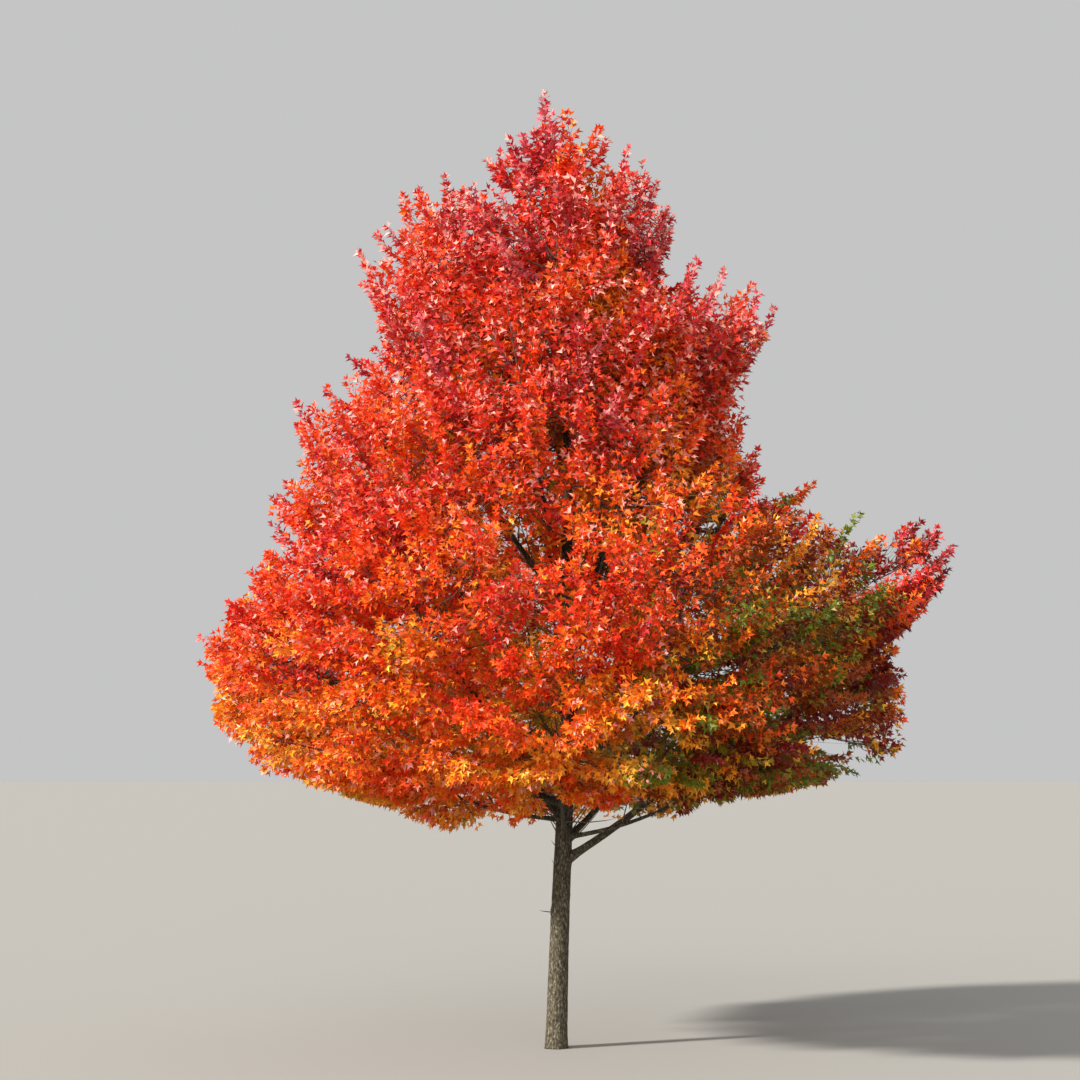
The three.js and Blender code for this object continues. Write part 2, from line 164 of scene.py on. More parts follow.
# Heights and the shares there: of leaders, of the insets and of the room for leaves.
LEADERS_SHARE = np.array([(2.5, 0.8), (4.4, 1.2), (6.0, 4.6)])
INSET_SHARE = np.array([(2.2, 0.0), (3.0, 0.25), (4.4, 0.6), (5.6, 1.3), (7.0, 1.7)])
LEAF_ROOM_SHARE = np.array([(2.1, 0.2), (2.9, 1.0)])
LEADER_BARE_BELOW = 2.7  # no branchlets on the trunk below this
SHOOT_RADIUS = 0.0026
SPUR_RADIUS = 0.0016
SHOOT_TIP_RADIUS = 0.0008
SHOOT_SIDES = 3
SHOOT_RINGS = 3
SPUR_RINGS = 2
FULL_DEPTH = 0.52  # under the crown's side, down to which every shoot grows
THIN_DEPTH = 1.2  # from here inwards only some do
THIN_SHARE = 0.3
# Heights, and the angle at which shoots rise there.
GROWING_RISE = np.array([(1.8, -25), (2.4, -3), (3.0, 28), (3.8, 56), (5.0, 63), (6.2, 68), (7.2, 82)])
CROWN_HEART = 0.5  # nearer to its axis, shoots rise more steeply
# Where the sky shows through the crown from the front: right and height of the middle, and half sizes.
GAPS = [
    (0.62, 1.66, 0.50, 0.15), (2.19, 2.33, 0.19, 0.09), (2.60, 3.78, 0.06, 0.17), (2.30, 4.07, 0.08, 0.20),
    (1.11, 3.46, 0.05, 0.05), (1.27, 3.58, 0.03, 0.03), (-0.03, 4.72, 0.06, 0.12)
]

# Leaves in sprays and plumes: from pair to pair, the shoot's bare start, and a stalk's lean and length.
SPRAY = SimpleNamespace(spacing=0.051, bare=0.04, lean=0.72, stalk=0.03)
PLUME = SimpleNamespace(spacing=0.023, bare=0.02, lean=0.4, stalk=0.02)
LEAF_LENGTH = 0.062
LEAF_SPREAD = 0.2  # of their length, from leaf to leaf
SHADE_LEAF_SWELL = 0.3  # more in the crown's shaded heart
PETIOLE_WIDTH = 0.0022
LEAF_ROOM = 0.06  # kept free for the leaves at the end of a shoot
SHORTEST_TWIG = 3 * LEAF_ROOM
LIMB_CLEARANCE = 0.012
LIMB_STRIDE = 0.03  # between the points that stand for a limb
LEAF_PLACE = (0.35, 0.65)  # in a pair's own stretch of the shoot
STALK_AHEAD = 0.62  # how much a stalk follows its shoot
STALK_RISE = 0.15
END_STALK_SHARE = 0.3  # of a stalk's length, for the leaf at a shoot's tip
LEAF_LARGEST = 1.14  # times its length, for a leaf at the start of a shoot
LEAF_SHRINK = 0.32  # from there to the shoot's tip
LEAF_AHEAD = 0.25  # how much a blade follows its shoot
LEAF_DROOP = (0.1, 1.1)
# What the upper side of a leaf faces: the sky, the crown's outside, and any way at random.
LEAF_TO_SKY = 0.4
LEAF_TO_OUTSIDE = 0.5
LEAF_STRAY = 0.55
LEAF_FOLD = (0.1, 0.85)  # how steeply its halves rise from the rib
LEAF_CURL = (-0.05, 0.4)  # how far its tip bends down
LEAF_SIDE_CURL = 1.2  # times that, for its side lobes
LEAF_WIDTH = (0.85, 1.15)
# Half of a leaf's outline as shares of its length, from its base round to its tip.
LEAF_HALF = [(0.54, 0.56), (0.20, 0.50)]
PIECE_TRIANGLES = 190000


def unit(vectors):
    """The same vectors with a length of one."""
    return vectors / np.linalg.norm(vectors, axis=-1, keepdims=True)


def smooth_share(value, low, high):
    """0 below low, 1 above high and straight in between. It falls instead where high is the lower."""
    return np.clip((value - low) / (high - low), 0, 1)


def seeded_random(seed):
    """Draws numbers from 0 to 1, the same as those of the solids' rule."""
    state = seed

    def draw():
        nonlocal state
        state = (state + RANDOM_STEP) & WORD
        mixed = ((state ^ (state >> 15)) * (state | 1)) & WORD
        mixed ^= (mixed + (mixed ^ (mixed >> 7)) * (mixed | 61)) & WORD
        return (mixed ^ (mixed >> 14)) / (WORD + 1)

    return draw


# The trunk's line and the crown's reach.
def trunk_point(height):
    """Where the trunk's axis is at each height: a smooth curve through its stations."""
    height = np.asarray(height, float)
    stations, places = TRUNK_AXIS[:, 0], TRUNK_AXIS[:, 1:]
    spans = np.diff(stations)[:, None]
    chords = np.diff(places, axis=0) / spans
    slopes = np.vstack([chords[:1], (chords[1:] + chords[:-1]) / 2, chords[-1:]])
    index = np.clip(np.searchsorted(stations, height) - 1, 0, len(spans) - 1)
    span = spans[index]
    share = (height - stations[index])[..., None] / span
    back = 1 - share
    below = back**2 * ((1 + 2 * share) * places[index] + share * span * slopes[index])
    above = share**2 * ((1 + 2 * back) * places[index + 1] - back * span * slopes[index + 1])
    return np.concatenate([below + above, height[..., None]], axis=-1)


def trunk_radius(height, turn):
    taper = (1 - height / TRUNK_TIP) ** TRUNK_TAPER_POWER
    plain = TRUNK_RADIUS_TIP + (TRUNK_RADIUS_FOOT - TRUNK_RADIUS_TIP) * taper
    lobes = 1 + FLARE_LOBE_SHARE * np.cos(FLARE_LOBES * turn)
    return plain * (1 + FLARE_SHARE * np.exp(-height / FLARE_HEIGHT) * lobes)


def crown_reach(height, azimuth):
    """How far the crown reaches from its axis at each height, to the side of each azimuth."""
    left, right = (np.interp(height, CROWN_REACH[:, 0], CROWN_REACH[:, column]) for column in (1, 2))
    to_right = (1 + np.cos(azimuth)) / 2
    depth = 1 - (1 - CROWN_DEPTH_SHARE) * np.sin(azimuth) ** 2
    inside = (height >= CROWN_REACH[0, 0]) & (height <= TREE_HEIGHT)
    return np.where(inside, depth * (left + (right - left) * to_right), 0)


def from_axis(points):
    """Each point's distance from the crown's axis, and its azimuth round it."""
    across, back = points[..., 0] - CROWN_AXIS_X, points[..., 1]
    return np.hypot(across, back), np.arctan2(back, across)


def in_crown(points):
    out, azimuth = from_axis(points)
    return out < crown_reach(points[..., 2], azimuth)


# Curves of three controls: a start, a middle that they bend towards, and an end.
def bezier(controls, shares):
    """Points at each share of each curve."""
    start, middle, end = (controls[..., None, i, :] for i in range(3))
    share = np.asarray(shares, float)[..., None]
    return (1 - share) ** 2 * start + 2 * share * (1 - share) * middle + share**2 * end


def bezier_tangent(controls, shares):
    start, middle, end = (controls[..., None, i, :] for i in range(3))
    share = np.asarray(shares, float)[..., None]
    return unit((1 - share) * (middle - start) + share * (end - middle))


def curve_length(controls):
    points = bezier(controls, np.linspace(0, 1, 201))
    return np.linalg.norm(np.diff(points, axis=-2), axis=-1).sum(axis=-1)


def sagging(start, end, sag):
    """A curve from start to end whose middle is lower by that share of its length."""
    start, end = np.asarray(start, float), np.asarray(end, float)
    length = np.linalg.norm(end - start, axis=-1, keepdims=True)
    return np.stack([start, (start + end) / 2 - sag * length * UP, end], axis=-2)


# The masses of foliage, each with its place, its curve from the trunk and its own space.
def beside_trunk(height, azimuth, out):
    turn = math.radians(azimuth)
    return np.array([CROWN_AXIS_X + out * math.cos(turn), out * math.sin(turn), height])


def make_masses():
    masses = []

    def add(name, centre, start, sag, on_bough):
        curve = sagging(start, centre, sag)
        masses.append(SimpleNamespace(name=name, centre=centre, curve=curve, on_bough=on_bough))

    for tier, row in TIERS.items():
        for i in range(row["count"]):
            azimuth = row["azimuth"] + 360 * i / row["count"]
            height = row["height"] + (-row["stagger"] if i % 2 else row["stagger"])
            out = row["share"] * crown_reach(height, math.radians(azimuth))
            start = trunk_point(row["fork"] + i * row["step"])
            add(f"{tier}_{i + 1}", beside_trunk(height, azimuth, out), start, BOUGH_SAG, True)
    for name, row in INNER_MASSES.items():
        start = trunk_point(row["height"] - INNER_STEM_DROP)
        add(name, beside_trunk(row["height"], row["azimuth"], row["out"]), start, BOUGH_SAG, False)
    top = np.array([TOP_MASS_RIGHT, 0, TOP_MASS_HEIGHT])
    add("top", top, trunk_point(TRUNK_TIP), 0, False)
    for number, mass in enumerate(masses):
        mass.number = number
        mass.heading = unit(mass.curve[2] - mass.curve[1])
        others = np.array([other.centre for other in masses if other is not mass])
        mass.inward = unit(mass.centre - others)
        middles = (mass.centre + others) / 2 + CELL_MARGIN * mass.inward
        mass.offsets = np.sum(mass.inward * middles, axis=1)
    return masses


def in_space(mass, points):
    """Whether each point is in the crown and nearer to this mass's centre than to another's."""
    return in_crown(points) & np.all(points @ mass.inward.T > mass.offsets, axis=-1)


def ray_lengths(is_inside, starts, directions, longest):
    """How far each ray runs before it leaves a space."""
    ways = np.arange(0, longest, SPACE_STRIDE)
    inside = is_inside(starts[..., None, :] + ways[:, None] * directions[..., None, :])
    count = np.where(inside.all(axis=-1), len(ways), np.argmin(inside, axis=-1))
    return np.maximum(0, count - 1) * SPACE_STRIDE


def burr_ways():
    """The ways to an icosahedron's twelve corners and to its twenty faces, in the solids' order."""
    golden = (1 + math.sqrt(5)) / 2
    pairs = [(side, height) for height in (golden, -golden) for side in (-1, 1)]
    corners = [(side, height, 0) for side, height in pairs]
    corners += [(0, side, height) for side, height in pairs]
    corners += [(height, 0, side) for side, height in pairs]
    corners = unit(np.array(corners, float))
    upper, lower = [11, 5, 1, 7, 10], [9, 4, 2, 6, 8]
    fifth = range(5)
    faces = [(0, upper[i], upper[(i + 1) % 5]) for i in fifth]
    faces += [(upper[(2 - i) % 5], upper[(1 - i) % 5], lower[i]) for i in fifth]
    faces += [(3, lower[i], lower[(i + 1) % 5]) for i in fifth]
    faces += [(lower[(i + 1) % 5], lower[i], upper[(1 - i) % 5]) for i in fifth]
    return corners, unit(corners[np.array(faces)].sum(axis=1))


BURR_CORNERS, BURR_VALLEYS = burr_ways()


def twig_tips(mass):
    """The tips of a mass's main twigs, and how far each looks the way that the mass grows."""
    turn = np.array(Vector(BURR_VALLEYS[0]).rotation_difference(Vector(mass.heading)).to_matrix())
    tips, forwards = [], []

    def add(direction, share, forward):
        reach = share * ray_lengths(partial(in_space, mass), mass.centre, direction, LONGEST_WAY)
        tips.append(mass.centre + reach * direction)
        forwards.append(forward)

    for number, valley in enumerate(BURR_VALLEYS):
        forward = float(valley @ BURR_VALLEYS[0])
        if forward < 0:
            add(turn @ valley, BACK_REACH, forward)
            continue
        draw = seeded_random(TWIG_SEED * (mass.number + 1) + number)
        stray = np.array([draw() - 0.5 for _ in range(3)])
        direction = unit(turn @ valley + TWIG_PULL * mass.heading + TWIG_STRAY * stray)
        add(direction, 1 if number == 0 else TWIG_SHORTEST + (1 - TWIG_SHORTEST) * draw(), forward)
    for corner in BURR_CORNERS:
        add(turn @ corner, POINT_REACH, float(corner @ BURR_VALLEYS[0]))
    return np.array(tips), np.array(forwards)


def main_twigs(mass):
    """The stem's curve and the twigs' curves. The less a twig looks ahead, the further back it starts."""
    length = curve_length(mass.curve)
    entry = 1 - MASS_ENTRY / length if mass.on_bough else INNER_STEM_START
    stem = part_of(mass.curve, entry, 1)
    tips, forwards = twig_tips(mass)
    back = STEM_SHARED * smooth_share(-forwards, -LOOKS_AHEAD, LOOKS_AHEAD)
    starts = bezier(mass.curve, 1 - back / length)
    reach = np.linalg.norm(tips - starts, axis=1)
    kept = reach > SHORTEST_TWIG
    starts, tips, reach = starts[kept], tips[kept], reach[kept, None]
    ends = tips - LEAF_ROOM * unit(tips - starts)
    arriving = (1 - TWIG_TURN) * unit(ends - starts) + TWIG_TURN * growing_way(ends)
    return stem, np.stack([starts, ends - TWIG_TURN_LENGTH * reach * unit(arriving), ends], axis=1)


def part_of(controls, low, high):
    """The controls of a part of a curve of three controls."""
    start, end = bezier(controls, [low, high])
    tangent = (1 - low) * (controls[1] - controls[0]) + low * (controls[2] - controls[1])
    return np.array([start, start + (high - low) * tangent, end])


def last_of(curves, length):
    """The end of each curve, of that length."""
    shares = np.maximum(0, 1 - length / curve_length(curves))
    return np.array([part_of(curve, share, 1) for curve, share in zip(curves, shares)])


def by_height(table, points):
    """The value that a table of heights and values gives at each point."""
    return np.interp(points[..., 2], table[:, 0], table[:, 1])


def growing_way(points):
    """The way that shoots grow in each part of the crown: out low down, and up at its top and heart."""
    out, azimuth = from_axis(points)
    rise = by_height(GROWING_RISE, points)
    rise = np.radians(90 + (rise - 90) * smooth_share(out, 0, CROWN_HEART))
    level = np.stack([np.cos(azimuth), np.sin(azimuth), np.zeros_like(azimuth)], axis=-1)
    return turned(rise, level, UP)


def depth_in_crown(points):
    out, azimuth = from_axis(points)
    return crown_reach(points[..., 2], azimuth) - out


def inner_share(points):
    """0 at the crown's side and 1 in its shaded heart."""
    out, azimuth = from_axis(points)
    return smooth_share(out / np.maximum(0.1, crown_reach(points[..., 2], azimuth)), 0.8, 0.3)


def is_open(points):
    """Whether each point lies where the sky shows through the crown."""
    right, height = points[..., 0], points[..., 2]
    shares = [((right - x) / half_x) ** 2 + ((height - z) / half_z) ** 2 for x, z, half_x, half_z in GAPS]
    return np.min(shares, axis=0) < 1


def turned(turn, first, second):
    """The first way, turned towards the second, which is square to it."""
    return np.cos(turn)[..., None] * first + np.sin(turn)[..., None] * second


def across_ways(tangents):
    """Two ways square to each tangent, the first of them level."""
    level = np.cross(UP, tangents)
    short = np.linalg.norm(level, axis=-1, keepdims=True) < 1e-3
    level = unit(np.where(short, np.array([1.0, 0, 0]), level))
    return level, np.cross(tangents, level)


def numbered_pairs(counts):
    """Which parent each pair is on, and its number along that parent."""
    parent = np.repeat(np.arange(len(counts)), counts)
    return parent, np.arange(len(parent)) - np.repeat(np.cumsum(counts) - counts, counts)


def aside_ways(tangent, side, pair, twist):
    """The way square to the parent for each of a pair, a quarter turn on from the pair before."""
    level, upright = across_ways(tangent)
    turn = np.pi / 2 * pair + twist
    return side[:, None] * turned(turn, level, upright)


def shoots_on(parents, rule, draws, free_ends=0):
    """Pairs of shoots inside the crown, none on the parents' free ends, and whether each is a leader."""
    lengths = curve_length(parents)
    lasts = np.maximum(rule.first, np.minimum(rule.last, 1 - free_ends / lengths))
    counts = np.maximum(1, np.round((lasts - rule.first) * lengths / rule.spacing)).astype(int)
    parent, pair = numbered_pairs(counts)
    along = (pair + draws.uniform(*PAIR_PLACE, len(pair))) / counts[parent]
    share = rule.first + (lasts[parent] - rule.first) * along
    twist = draws.uniform(-PAIR_TWIST, PAIR_TWIST, len(pair))
    parent, pair, share, twist = (np.repeat(values, 2) for values in (parent, pair, share, twist))
    side = np.tile([1.0, -1.0], len(parent) // 2)
    start = bezier(parents[parent], share[:, None])[:, 0]
    tangent = bezier_tangent(parents[parent], share[:, None])[:, 0]
    angle = rule.angle * draws.uniform(*SHOOT_SPREAD, len(parent))
    leaving = turned(angle, tangent, aside_ways(tangent, side, pair, twist))
    leads = draws.random(len(parent)) < rule.leaders * by_height(LEADERS_SHARE, start)
    bend = np.where(leads, LEAD_BEND, rule.bend)[:, None]
    ending = unit((1 - bend) * leaving + bend * growing_way(start))
    chord = unit((1 - CHORD_BEND * bend) * leaving + CHORD_BEND * bend * ending)
    length = np.where(leads, rule.lead_length, rule.length * (1 - rule.shorter * share))
    length = length * draws.uniform(*SHOOT_SPREAD, len(parent))
    inset_share = by_height(INSET_SHARE, start)
    lead_inset = LEAD_INSET * np.minimum(1, inset_share) * draws.random(len(parent)) ** 2
    inset = np.where(leads, lead_inset, inset_share * draws.uniform(*rule.inset, len(parent)))
    room = LEAF_ROOM * by_height(LEAF_ROOM_SHARE, start)
    length = np.minimum(length, ray_lengths(in_crown, start, chord, LONGEST_SHOOT) - room - inset)
    end = start + length[:, None] * chord
    thin = smooth_share(depth_in_crown(start), FULL_DEPTH, THIN_DEPTH) * (1 - THIN_SHARE)
    kept = (length > rule.shortest) & (draws.random(len(parent)) > thin) & ~is_open(end)
    start, leaving, end, length = start[kept], leaving[kept], end[kept], length[kept, None]
    return np.stack([start, start + SHOOT_HANDLE * length * leaving, end], axis=1), leads[kept]


def trunk_leader():
    """The trunk's thin top, as a curve of three controls."""
    low, middle, high = (trunk_point(height) for height in np.linspace(LEADER_BARE_BELOW, TRUNK_TIP, 3))
    return np.array([low, 2 * middle - (low + high) / 2, high])


def far_apart(tips):
    """Whether each tip keeps its room from every earlier one that does."""
    room = PLUME_ROOM * np.minimum(PLUME_ROOM_MOST, by_height(INSET_SHARE, tips))
    kept = np.zeros(len(tips), bool)
    for i, tip in enumerate(tips):
        kept[i] = np.all(np.linalg.norm(tips[kept] - tip, axis=1) > room[i])
    return kept


# Meshes from arrays of points and triangles.
def walls(rings, sides):
    """The triangles from each ring to the next."""
    here = np.arange((rings - 1) * sides).reshape(-1, sides)
    ahead = np.roll(here, -1, axis=1)
    corners = [(here, ahead, ahead + sides), (here, ahead + sides, here + sides)]
    return np.stack([np.stack(three, axis=2) for three in corners], axis=1).reshape(-1, 3)


def fan(first, sides, point):
    """The triangles from a ring, whose first corner is given, to one point."""
    ring = first + np.arange(sides)
    return np.stack([ring, np.roll(ring, -1), np.full(sides, point)], axis=1)


def tubes(points, radii, sides):
    """A tapered tube along each row of points, ending in a point: vertices and triangles."""
    count, rings = points.shape[:2]
    tangents = unit(np.gradient(points, axis=1))
    normal, _ = across_ways(tangents[:, 0])
    rows = []
    for ring in range(rings - 1):
        tangent = tangents[:, ring]
        normal = unit(normal - np.sum(normal * tangent, axis=-1, keepdims=True) * tangent)
        rows.append(np.stack([normal, np.cross(tangent, normal)], axis=1))
    frames = np.stack(rows, axis=1)
    turns = np.arange(sides) * 2 * np.pi / sides
    circle = np.stack([np.cos(turns), np.sin(turns)], axis=1)
    offsets = np.einsum("sk,crkx->crsx", circle, frames)
    around = points[:, :-1, None] + radii[:, :-1, None, None] * offsets
    vertices = np.concatenate([around.reshape(count, -1, 3), points[:, -1:]], axis=1)
    tip = (rings - 1) * sides
    faces = np.concatenate([walls(rings - 1, sides), fan(tip - sides, sides, tip)])
    starts = np.arange(count) * vertices.shape[1]
    return vertices.reshape(-1, 3), (faces[None] + starts[:, None, None]).reshape(-1, 3)


def tapered_tubes(curves, radius, tip_radius, sides, rings):
    shares = np.linspace(0, 1, rings)
    taper = radius + (tip_radius - radius) * shares
    return tubes(bezier(curves, shares), np.tile(taper, (len(curves), 1)), sides)


def joined(meshes):
    """Several sets of vertices and triangles as one."""
    starts = np.cumsum([0] + [len(points) for points, _ in meshes])
    triangles = [faces + start for (_, faces), start in zip(meshes, starts)]
    return np.concatenate([points for points, _ in meshes]), np.concatenate(triangles)


def add_object(name, data):
    thing = bpy.data.objects.new(name, data)
    bpy.context.scene.collection.objects.link(thing)
    return thing


def make_piece(name, vertices, triangles, material, slot, nodes, smooth):
    """One object from arrays, which rides on the tree's body and stands for the nodes."""
    mesh = bpy.data.meshes.new(name)
    mesh.vertices.add(len(vertices))
    mesh.vertices.foreach_set("co", np.asarray(vertices, np.float32).ravel())
    mesh.loops.add(3 * len(triangles))
    mesh.loops.foreach_set("vertex_index", np.asarray(triangles, np.int32).ravel())
    mesh.polygons.add(len(triangles))
    mesh.polygons.foreach_set("loop_start", np.arange(0, 3 * len(triangles), 3, dtype=np.int32))
    mesh.update(calc_edges=True)
    if smooth:
        mesh.shade_smooth()
    else:
        mesh.shade_flat()
    mesh.materials.append(material)
    piece = add_object(name, mesh)
    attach(piece, BODY)
    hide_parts(*nodes)
    print(f"{name}: {len(triangles)} triangles")


# Materials.
def linear(hex_colour):
    """A screen colour as linear light."""
    values = [int(hex_colour[i : i + 2], 16) / 255 for i in (1, 3, 5)]
    return [v / 12.92 if v <= 0.04045 else ((v + 0.055) / 1.055) ** 2.4 for v in values] + [1]


def new_material(name, roughness, specular):
    material = bpy.data.materials.new(name)
    material.use_nodes = True
    shader = material.node_tree.nodes["Principled BSDF"]
    shader.inputs["Roughness"].default_value = roughness
    shader.inputs["Specular IOR Level"].default_value = specular
    return material, shader


def plain_material(name, hex_colour, roughness, specular=0.4):
    material, shader = new_material(name, roughness, specular)
    shader.inputs["Base Color"].default_value = linear(hex_colour)
    return material


# How often each of the bark's patterns repeats in a metre: across, from front to back, and up.
PLATES_SCALE = (78, 78, 34)
STREAKS_SCALE = (140, 140, 52)
LENTICELS_SCALE = (60, 60, 190)
MOSS_SCALE = (9, 9, 4)
MOSS_GRAIN_SCALE = (70, 70, 70)
BUMP_SCALE = (140, 140, 30)
PLATE_TINTS = [(0.28, "#2b261b"), (0.45, "#464033"), (0.58, "#625b4b"), (0.72, "#948d7c")]
MOSS_TINTS = [(0.3, "#3f3e24"), (0.7, "#66654a")]
STREAKS_SHARE = 0.8
LENTICELS_SHARE = 0.7
PAINTED_SHADE_FROM = 1.0  # height from which the bark darkens upwards, as painted shade under the crown
PAINTED_SHADE_TO = 2.0
PAINTED_SHADE_LEVEL = 0.62


def bark_material():
    """Mottled grey-brown bark: pale plates, dark furrows and lenticels, and a top darkened with painted
    shade under the crown.
    """
    material, shader = new_material("bark", 0.9, 0.25)
    nodes, links = material.node_tree.nodes, material.node_tree.links
    place = nodes.new("ShaderNodeTexCoord").outputs["Object"]

    def feed(node, inputs):
        """Sets each input, or links it where its value is another node's output."""
        for name, value in inputs.items():
            if isinstance(value, bpy.types.NodeSocket):
                links.new(value, node.inputs[name])
            else:
                node.inputs[name].default_value = value
        return node.outputs

    def stretched_noise(scale, detail):
        mapped = feed(nodes.new("ShaderNodeMapping"), {"Scale": scale, "Vector": place})["Vector"]
        inputs = {"Scale": 1, "Detail": detail, "Vector": mapped}
        return feed(nodes.new("ShaderNodeTexNoise"), inputs)["Fac"]

    def ramp(value, stops):
        colours = nodes.new("ShaderNodeValToRGB")
        elements = colours.color_ramp.elements
        elements[0].position, elements[1].position = stops[0][0], stops[-1][0]
        for position, _ in stops[1:-1]:
            elements.new(position)
        for element, (_, colour) in zip(elements, stops):
            element.color = colour
        return feed(colours, {"Fac": value})["Color"]

    def tinted(value, tints):
        return ramp(value, [(position, linear(tint)) for position, tint in tints])

    def greys(value, low, high):
        return ramp(value, [(position, (grey, grey, grey, 1)) for position, grey in (low, high)])

    def mix(kind, share, first, second):
        blend = nodes.new("ShaderNodeMix")
        blend.data_type = "RGBA"
        blend.blend_type = kind
        return feed(blend, {"Factor": share, "A": first, "B": second})["Result"]

    plates = tinted(stretched_noise(PLATES_SCALE, 6), PLATE_TINTS)
    streaks = greys(stretched_noise(STREAKS_SCALE, 4), (0.36, 0.42), (0.55, 1))
    lenticels = greys(stretched_noise(LENTICELS_SCALE, 2), (0.66, 1), (0.72, 0.45))
    moss = greys(stretched_noise(MOSS_SCALE, 5), (0.56, 0), (0.72, 0.5))
    greenish = tinted(stretched_noise(MOSS_GRAIN_SCALE, 3), MOSS_TINTS)
    colour = mix("MULTIPLY", STREAKS_SHARE, plates, streaks)
    colour = mix("MULTIPLY", LENTICELS_SHARE, colour, lenticels)
    colour = mix("MIX", moss, colour, greenish)
    # Painted shade under the crown: above one height the bark darkens, down to a set share at another.
    height = feed(nodes.new("ShaderNodeSeparateXYZ"), {"Vector": place})["Z"]
    span = {"From Min": PAINTED_SHADE_FROM, "From Max": PAINTED_SHADE_TO, "Value": height}
    height = feed(nodes.new("ShaderNodeMapRange"), span)["Result"]
    colour = mix("MULTIPLY", 1.0, colour, greys(height, (0, 1), (1, PAINTED_SHADE_LEVEL)))
    bumps = {"Strength": 0.5, "Distance": 0.002, "Height": stretched_noise(BUMP_SCALE, 6)}
    normal = feed(nodes.new("ShaderNodeBump"), bumps)["Normal"]
    feed(shader, {"Base Color": colour, "Normal": normal})
    return material


# The trunk and the boughs, with the bark's relief in their meshes.
TRUNK_SIDES = 60
RING_SPACING_LOW = 0.01
RING_SPACING_HIGH = 0.05
BARE_TRUNK = 1.9
BOUGH_SIDES = 14
BOUGH_RING_SPACING = 0.045
COLLAR_SWELL = 0.5  # a bough's base is thicker by this share
COLLAR_LENGTH = 0.05
LINE_STEPS = 400
# The bark's relief: how often each form repeats in a metre, across and up, and how far it stands out.
FURROWS = SimpleNamespace(across=60, up=9, out=1.6, width=0.22)
GRAIN = SimpleNamespace(across=150, up=40, out=0.45)
LUMPS = SimpleNamespace(across=9, up=5, out=1.3)
TRUNK_RELIEF = 0.0017
TRUNK_FULL_RELIEF = 0.06  # from this radius on the relief is full
TRUNK_LEAST_RELIEF = 0.15
BOUGH_RELIEF = 0.0009
BOUGH_FULL_RELIEF = 0.02
BOUGH_LEAST_RELIEF = 0.5
# A scar's raised rim and the dip inside it, all as shares of its size.
SCAR = SimpleNamespace(rim=0.35, rim_place=0.9, rim_width=0.3, dip=0.1)
# The trunk's swelling under a bough, in the bough's radii, apart from from_axis, which is in metres.
CRUTCH = SimpleNamespace(from_axis=0.06, steepest=0.2, below=0.4, tall=1.6, out=0.28)
# Old scars of small cut branches: height, azimuth in degrees, and size.
SCARS = [
    (0.42, 250, 0.012), (0.78, 300, 0.014), (1.05, 185, 0.018), (1.18, 20, 0.014), (1.30, 232, 0.016),
    (0.62, 110, 0.015), (1.12, 75, 0.014)
]
SNAG_RADIUS = 0.0065
SNAG_SAG = 0.08
# Thin bare twigs on the trunk: height, azimuth in degrees, length and rise in degrees.
SNAGS = [
    (1.05, 186, 0.10, 4), (1.27, 205, 0.07, 66), (1.33, 176, 0.09, 58), (1.42, 192, 0.11, 70),
    (1.50, 168, 0.08, 48), (1.36, 352, 0.10, 68), (1.48, 10, 0.07, 60), (1.54, 350, 0.42, 47),
    (1.60, 14, 0.36, 55), (1.66, 338, 0.40, 52), (1.71, 24, 0.34, 60), (1.58, 182, 0.26, 62),
    (1.66, 200, 0.34, 50), (1.72, 166, 0.30, 56)
]


def bark_relief(points, depth):
    """How far the bark stands out at each point: long shallow furrows, fine grain and broad lumps."""
    relief = np.empty(len(points))
    for i, (x, y, z) in enumerate(points):
        furrow, grain, lump = (
            noise.noise(Vector((form.across * x, form.across * y, form.up * z)))
            for form in (FURROWS, GRAIN, LUMPS)
        )
        cut = max(0.0, FURROWS.width - abs(furrow))
        relief[i] = -FURROWS.out * cut / FURROWS.width + GRAIN.out * grain + LUMPS.out * lump
    return depth * relief


def ring_mesh(rings):
    """Vertices and triangles of a closed limb from its rings, with a point at each end."""
    count, sides = rings.shape[:2]
    foot, tip = count * sides, count * sides + 1
    ends = [rings[0].mean(axis=0), rings[-1].mean(axis=0)]
    faces = [walls(count, sides), fan(0, sides, foot)[:, [1, 0, 2]], fan(foot - sides, sides, tip)]
    return np.vstack([*rings, ends]), np.vstack(faces)


def limb_line(curve, spacing):
    """Points along a limb's curve, evenly spaced, their ways along it, and how far each is along."""
    fine = bezier(curve, np.linspace(0, 1, LINE_STEPS))
    along = np.concatenate([[0], np.cumsum(np.linalg.norm(np.diff(fine, axis=0), axis=1))])
    stops = np.linspace(0, along[-1], max(4, int(along[-1] / spacing)))
    points = np.stack([np.interp(stops, along, fine[:, axis]) for axis in range(3)], axis=1)
    return points, unit(np.gradient(points, axis=0)), stops


def turn_between(turns, azimuth):
    """How far each turn is from an azimuth, the short way round."""
    return (turns - azimuth + np.pi) % (2 * np.pi) - np.pi


